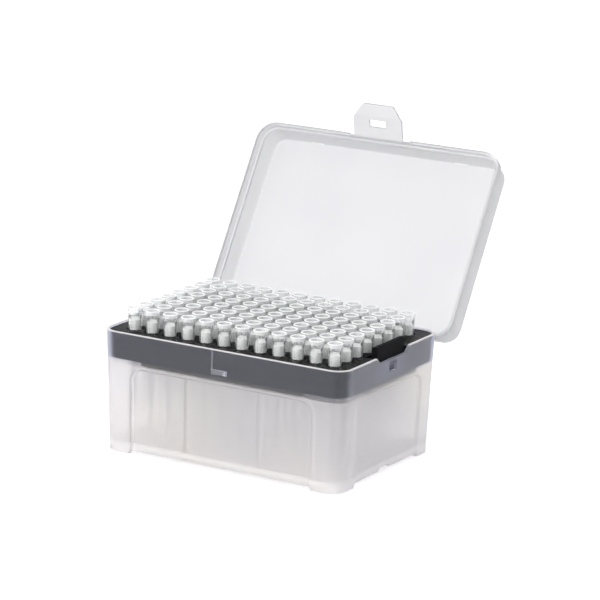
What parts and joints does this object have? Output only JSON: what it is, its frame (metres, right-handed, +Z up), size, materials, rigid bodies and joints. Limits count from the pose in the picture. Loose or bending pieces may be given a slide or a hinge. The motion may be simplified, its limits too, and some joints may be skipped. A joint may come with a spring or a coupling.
{
  "type": "box of pipette tips",
  "caption": "Hinged, frosted lab box with a snap lid and a lift-out black rack that holds a full grid of clear filter pipette tips.",
  "frame": {"origin": "middle of the outline that the open box covers, on the surface that its feet stand on", "axes": "+X along the rows of twelve tips, towards the rack latch; +Y from the lid catch towards the hinge; +Z up"},
  "size_m": [0.1238, 0.146, 0.1389],
  "materials": {
    "frosted_base": "moulded natural polypropylene, finely frosted",
    "frosted_lid": "thin moulded natural polypropylene, frosted",
    "clear_tip": "polished clear polypropylene",
    "white_filter": "sintered porous polyethylene",
    "black_rack": "moulded black polypropylene, semi-gloss",
    "black_latch": "moulded black polypropylene with a fine grip texture"
  },
  "bodies": {
    "base": {"base_box": "frosted_base", "tip_rack": "black_rack", "tips_column_01": "clear_tip", "tips_column_02": "clear_tip", "tips_column_03": "clear_tip", "tips_column_04": "clear_tip", "tips_column_05": "clear_tip", "tips_column_06": "clear_tip", "tips_column_07": "clear_tip", "tips_column_08": "clear_tip", "tips_column_09": "clear_tip", "tips_column_10": "clear_tip", "tips_column_11": "clear_tip", "tips_column_12": "clear_tip", "filters_column_01": "white_filter", "filters_column_02": "white_filter", "filters_column_03": "white_filter", "filters_column_04": "white_filter", "filters_column_05": "white_filter", "filters_column_06": "white_filter", "filters_column_07": "white_filter", "filters_column_08": "white_filter", "filters_column_09": "white_filter", "filters_column_10": "white_filter", "filters_column_11": "white_filter", "filters_column_12": "white_filter"},
    "lid": {"lid": "frosted_lid"},
    "lid_latch": {"lid_latch": "frosted_lid"},
    "rack_latch": {"rack_latch": "black_latch"}
  },
  "joints": [
    {"name": "lid_hinge", "type": "hinge", "parent": "base", "child": "lid", "pos_m": [0, 0.01544, 0.0492], "axis": [1, 0, 0], "range_deg": [0, 121.1]},
    {"name": "lid_latch_hinge", "type": "hinge", "parent": "lid", "child": "lid_latch", "pos_m": [0, 0.06134, 0.12364], "axis": [1, 0, 0], "range_deg": [-40, 50], "stiffness_Nm_per_rad": 0.002},
    {"name": "rack_latch_hinge", "type": "hinge", "parent": "base", "child": "rack_latch", "pos_m": [0.05767, -0.02886, 0.0429], "axis": [0, -1, 0], "range_deg": [0, 8], "stiffness_Nm_per_rad": 0.005}
  ]
}
